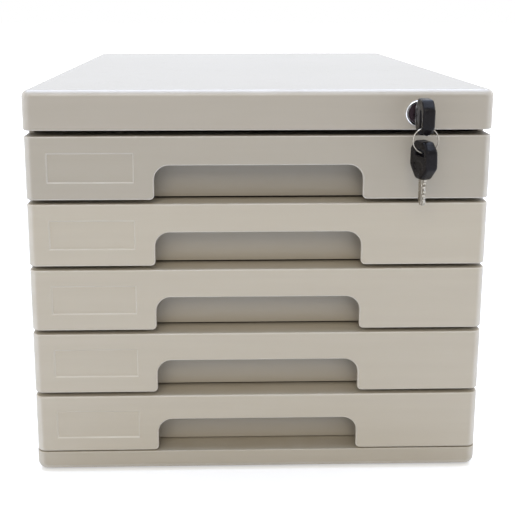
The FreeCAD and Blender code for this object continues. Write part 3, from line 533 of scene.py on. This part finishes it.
def key_head(tie=True, around=200, face_steps=18):
    """Point (u, v), in millimetres, flats facing X. Around u the line from the slot's edge to the outline
    is fixed. Along v a point slides on that line and changes its height x: up the outer wall, over a
    quarter circle, across the flat, over a smaller quarter circle and down the slot's wall, then the same
    mirrored. Where the head has a tie, the height is scaled to its round section below the slot. It is
    lowered in the hollow between slot and neck."""
    u = np.linspace(0.0, 2 * np.pi, around, endpoint=False)
    edge = outline(u, HEAD_SIDES, 26.0)
    gap = outline(u, SLOT_SIDES, 9.0)
    edge_y, edge_z = HEAD_MIDDLE + edge * np.cos(u), edge * np.sin(u)
    gap_y, gap_z = SLOT_Y + gap * np.cos(u), SLOT_Z + gap * np.sin(u)
    span = np.hypot(edge_y - gap_y, edge_z - gap_z)
    quarter = np.linspace(0.0, np.pi / 2, 7)
    rise = np.concatenate([[0.0], HEAD_HALF - HEAD_ROUND + HEAD_ROUND * np.sin(quarter),
                           np.full(face_steps, HEAD_HALF),
                           HEAD_HALF - SLOT_ROUND + SLOT_ROUND * np.cos(quarter), [0.0]])
    from_edge = np.concatenate([[0.0], HEAD_ROUND * (1 - np.cos(quarter))])
    to_gap = np.concatenate([SLOT_ROUND * (1 - np.sin(quarter)), [0.0]])
    flat = np.linspace(0.0, 1.0, face_steps + 2)[1:-1]
    inward = np.concatenate([np.broadcast_to(from_edge, (around, from_edge.size)),
                             HEAD_ROUND + flat * (span[:, None] - HEAD_ROUND - SLOT_ROUND),
                             span[:, None] - to_gap], axis=1)
    share = inward / span[:, None]
    y = edge_y[:, None] + share * (gap_y - edge_y)[:, None]
    z = edge_z[:, None] + share * (gap_z - edge_z)[:, None]
    rod = np.sqrt(np.clip(TIE_RADIUS ** 2 - (z - TIE_Z) ** 2, 0.0, None)) + 0.02
    near_slot = 1 - np.clip((np.abs(y - SLOT_Y) - TIE_HALF) / TIE_BLEND, 0.0, 1.0) ** 2
    below = np.clip((SLOT_BOTTOM - z) / 0.4, 0.0, 1.0)
    height = HEAD_HALF + (near_slot * below * (rod - HEAD_HALF) if tie else 0.0)
    hollow = 1 - ((y - HOLLOW_Y) / HOLLOW_SPAN_Y) ** 2 - (z / HOLLOW_SPAN_Z) ** 2
    height = height - HOLLOW_DEPTH * np.clip(hollow * 3.0, 0.0, 1.0) ** 2 * (rise >= HEAD_HALF)
    x = rise * height / HEAD_HALF
    top = np.stack([x, y, z], axis=-1)
    bottom = top[:, -2:0:-1] * np.array([-1.0, 1.0, 1.0])
    return np.concatenate([top, bottom], axis=1)


print("head grid", key_head().shape)

# %% The two heads
def hang(points, turn=15.0):
    """A quarter turn about X takes the neck end down, then a turn about Z: (x, y, z) becomes (x, z, -y),
    and that is turned by the angle about the vertical."""
    c, s = math.cos(math.radians(turn)), math.sin(math.radians(turn))
    x, y, z = points[..., 0], points[..., 2], -points[..., 1]
    return np.stack([c * x - s * y, s * x + c * y, z], axis=-1)


head_centre, head_size = centre_and_size("key_head")
neck = np.array([head_centre[0], head_centre[1] + head_size[1] / 2, head_centre[2]])
blade_centre, blade_size = centre_and_size("spare_key_blade")
spare_neck = np.array([blade_centre[0], blade_centre[1], blade_centre[2] + blade_size[2] / 2])
add_piece(grid_mesh("lock_key_head", key_head() * MM + neck, loop_rows=True), "key", key_black,
          "key_head")
add_piece(grid_mesh("hanging_key_head", hang(key_head(tie=False)) * MM + spare_neck, loop_rows=True),
          "spare_key", key_black, "spare_key_head")

# %% [markdown]
# ## The key blades
# A blade is a strip of nickel-plated steel. Each flat has a milled groove that matches a ward in the keyway,
# and the lower edge is cut into slopes and flats, one for each wafer. A flat plate with notches cut out
# would look like a toy key, so the grooved section is carried along the blade, and the cut edge is a height
# that the section's lower half is squeezed to.

# %% A key blade
# Sizes in millimetres. The section's points are (x, z), and the cuts are counted from the tip.
BLADE_HALF, FIT = 3.5, 0.98
RIGHT_SIDE = [(1.0, 3.3), (1.0, 2.2), (0.55, 1.9), (0.55, 0.9), (1.0, 0.6), (1.0, -1.0), (1.0, -2.0),
              (1.0, -3.3), (0.8, -3.5)]
LEFT_SIDE = [(-0.8, -3.5), (-1.0, -3.3), (-1.0, -1.9), (-0.6, -1.6), (-0.6, -0.7), (-1.0, -0.4), (-1.0, 1.0),
             (-1.0, 3.3), (-0.8, 3.5)]
CUT_DEPTHS = (1.1, 1.7, 0.9, 1.5, 1.2)
FIRST_CUT, CUT_STEP, CUT_FLAT, CUT_SLOPE = 3.6, 2.6, 0.45, 1.1
TIP_LENGTH, TIP_CLOSE = 2.6, 2.1


def key_blade(length, steps=150):
    """Point (s, t), in millimetres, neck at the origin, blade along +Y. The section is 2 wide and 7 high
    with a groove in each flat, and it is the same all along. The lower edge rises to the cut's depth, the
    greatest of the flat-bottomed notches there, and both edges close in towards the tip along a straight
    slope."""
    section = np.array(RIGHT_SIDE + LEFT_SIDE + [(0.8, 3.5)])
    s = np.linspace(0.0, length, steps)[:, None]
    depth = np.zeros_like(s)
    for place, deep in zip(length - FIRST_CUT - CUT_STEP * np.arange(len(CUT_DEPTHS)), CUT_DEPTHS):
        depth = np.maximum(depth, np.clip(deep + CUT_FLAT - CUT_SLOPE * np.abs(s - place), 0.0, deep))
    taper = np.clip((s - (length - TIP_LENGTH)) / TIP_LENGTH, 0.0, 1.0) * TIP_CLOSE
    z = np.broadcast_to(section[:, 1], (steps, len(section)))
    lower = z * (BLADE_HALF - np.maximum(depth, taper)) / BLADE_HALF
    upper = z * (BLADE_HALF - taper) / BLADE_HALF
    x = np.broadcast_to(section[:, 0], z.shape) * FIT
    return np.stack([x, np.broadcast_to(s, z.shape), np.where(z < 0, lower, upper)], axis=-1)


print("blade grid", key_blade(20.0).shape)

# %% The two blades
in_lock_size = centre_and_size("key_blade")[1]
add_piece(grid_mesh("lock_key_blade", key_blade(in_lock_size[1] / MM) * MM + neck, caps=True), "key", nickel,
          "key_blade")
add_piece(grid_mesh("hanging_key_blade", hang(key_blade(blade_size[2] / MM)) * MM + spare_neck, caps=True),
          "spare_key", nickel, "spare_key_blade")

# %% [markdown]
# ## The split ring
# A key ring is one steel wire wound round nearly twice and sprung shut, so two turns lie side by side and
# the ends show as small steps. A plain torus would be quicker, but the doubled wire is what makes it read as
# a key ring.

# %% The split ring
RING_START, RING_CROSSING = 1.9, 12.0


def split_ring(centre, radius, wire, turns=1.9, steps=190, around=14):
    """Point (s, t): the wire's centre goes round a circle in XZ by angle 2 pi s turns, and moves along Y
    from one side of the ring to the other near the middle of its length. The tube adds wire radius times
    (cos t) outwards and (sin t) along Y. The wire rounds off to a point at each end."""
    s = np.linspace(0.0, 1.0, steps)[:, None]
    t = np.linspace(0.0, 2 * np.pi, around, endpoint=False)[None, :]
    angle = 2 * np.pi * turns * s + RING_START
    side = wire * np.tanh((s - 0.5) * RING_CROSSING)
    ends = np.clip(np.minimum(s, 1 - s) * 2 * np.pi * turns * radius / (0.6 * wire), 0.0, 1.0)
    thick = wire * np.sqrt(1 - (1 - ends) ** 2) * FIT + 1e-6
    out = radius + thick * np.cos(t)
    x = centre[0] + out * np.cos(angle)
    z = centre[2] + out * np.sin(angle)
    y = centre[1] + side + thick * np.sin(t) + 0 * angle
    return np.stack([x, y, z], axis=-1)


ring_centre, ring_size = centre_and_size("key_ring")
wire = ring_size[1] / 4
ring_points = split_ring(ring_centre, ring_size[0] / 2 - ring_size[1] / 2, wire)
add_piece(grid_mesh("split_ring", ring_points, caps=True), "ring", nickel, "key_ring")

# %% [markdown]
# ## Floor and light
# The cabinet stands in a white studio. A big cool lamp above the cover gives it a pale sheen, a warm one
# high in front keeps the fronts even, and two small ones keep the sides from going dull. A plain white world
# alone would light everything flat, so the world is white where the eye sees it, straight on or in a gloss,
# and weaker as a light. The floor glows only for the eye as well, less near the cabinet, so that a soft
# shadow is left.

# %% Floor
FLOOR_HALF = 12
across = np.linspace(-FLOOR_HALF, FLOOR_HALF, 3)
floor_points = np.stack(np.meshgrid(across, across, [0.0]), axis=-1).reshape(3, 3, 3)
floor_mesh = grid_mesh("floor", floor_points, loop_columns=False)
floor = bpy.data.objects.new("floor", floor_mesh)
bpy.context.scene.collection.objects.link(floor)
white_floor = bpy.data.materials.new("white_floor")
white_floor.use_nodes = True
tree = white_floor.node_tree
tree.nodes.clear()
out = node(tree, "ShaderNodeOutputMaterial")
paint = node(tree, "ShaderNodeBsdfDiffuse", in_Color=(0.78, 0.78, 0.78, 1.0))
glow = node(tree, "ShaderNodeEmission", in_Color=(1.0, 1.0, 1.0, 1.0))
seen = node(tree, "ShaderNodeLightPath")
straight = math_node(tree, "MAXIMUM", seen.outputs["Is Camera Ray"], seen.outputs["Is Glossy Ray"])
where = node(tree, "ShaderNodeTexCoord")
from_middle = node(tree, "ShaderNodeVectorMath", operation="LENGTH")
tree.links.new(where.outputs["Object"], from_middle.inputs[0])
far = remap(tree, from_middle.outputs["Value"], 0.5, 1.5, 0.45, 1.0)
tree.links.new(math_node(tree, "MULTIPLY", straight, far), glow.inputs["Strength"])
total = node(tree, "ShaderNodeAddShader")
tree.links.new(paint.outputs[0], total.inputs[0])
tree.links.new(glow.outputs[0], total.inputs[1])
tree.links.new(total.outputs[0], out.inputs["Surface"])
floor_mesh.materials.append(white_floor)
print("floor", [round(v, 2) for v in floor.dimensions])

# %% World
world = bpy.data.worlds.new("studio")
bpy.context.scene.world = world
world.use_nodes = True
tree = world.node_tree
tree.nodes.clear()
out = node(tree, "ShaderNodeOutputWorld")
back = node(tree, "ShaderNodeBackground")
seen = node(tree, "ShaderNodeLightPath")
direct = math_node(tree, "MAXIMUM", seen.outputs["Is Camera Ray"], seen.outputs["Is Glossy Ray"])
direct = math_node(tree, "MAXIMUM", direct, seen.outputs["Is Transmission Ray"])
tint = blend(tree, seen.outputs["Is Camera Ray"], (0.95, 0.975, 1.0), (1.0, 1.0, 1.0))
tree.links.new(tint, back.inputs["Color"])
strength = math_node(tree, "ADD", math_node(tree, "MULTIPLY", direct, 0.55), 0.45)
tree.links.new(strength, back.inputs["Strength"])
tree.links.new(back.outputs[0], out.inputs["Surface"])
print("world", world.name)

# %% Lamps
def soft_lamp(name, size, place, aim, watts, colour):
    """A rectangular lamp at a place in metres, turned to face a point."""
    data = bpy.data.lights.new(name, "AREA")
    data.shape = "RECTANGLE"
    data.size, data.size_y = size
    data.energy = watts
    data.color = colour
    lamp = bpy.data.objects.new(name, data)
    lamp.location = place
    towards = np.array(aim) - np.array(place)
    pitch = math.atan2(-towards[2], math.hypot(towards[0], towards[1]))
    yaw = math.atan2(towards[0], towards[1])
    lamp.rotation_euler = (math.pi / 2 - pitch, 0.0, -yaw)
    bpy.context.scene.collection.objects.link(lamp)


soft_lamp("overhead", (2.4, 2.2), (0.0, 0.45, 1.8), (0.0, 0.0, 0.2), 60.0, (0.63, 0.745, 1.0))
soft_lamp("front_fill", (2.6, 1.5), (-0.5, -3.2, 2.4), (0.0, -0.2, 0.05), 40.0, (1.0, 0.92, 0.78))
soft_lamp("right_side", (0.9, 0.9), (1.5, 0.25, 0.6), (0.0, 0.0, 0.13), 5.0, (1.0, 0.97, 0.92))
soft_lamp("left_side", (0.9, 0.9), (-1.5, 0.25, 0.6), (0.0, 0.0, 0.13), 4.0, (1.0, 0.97, 0.92))
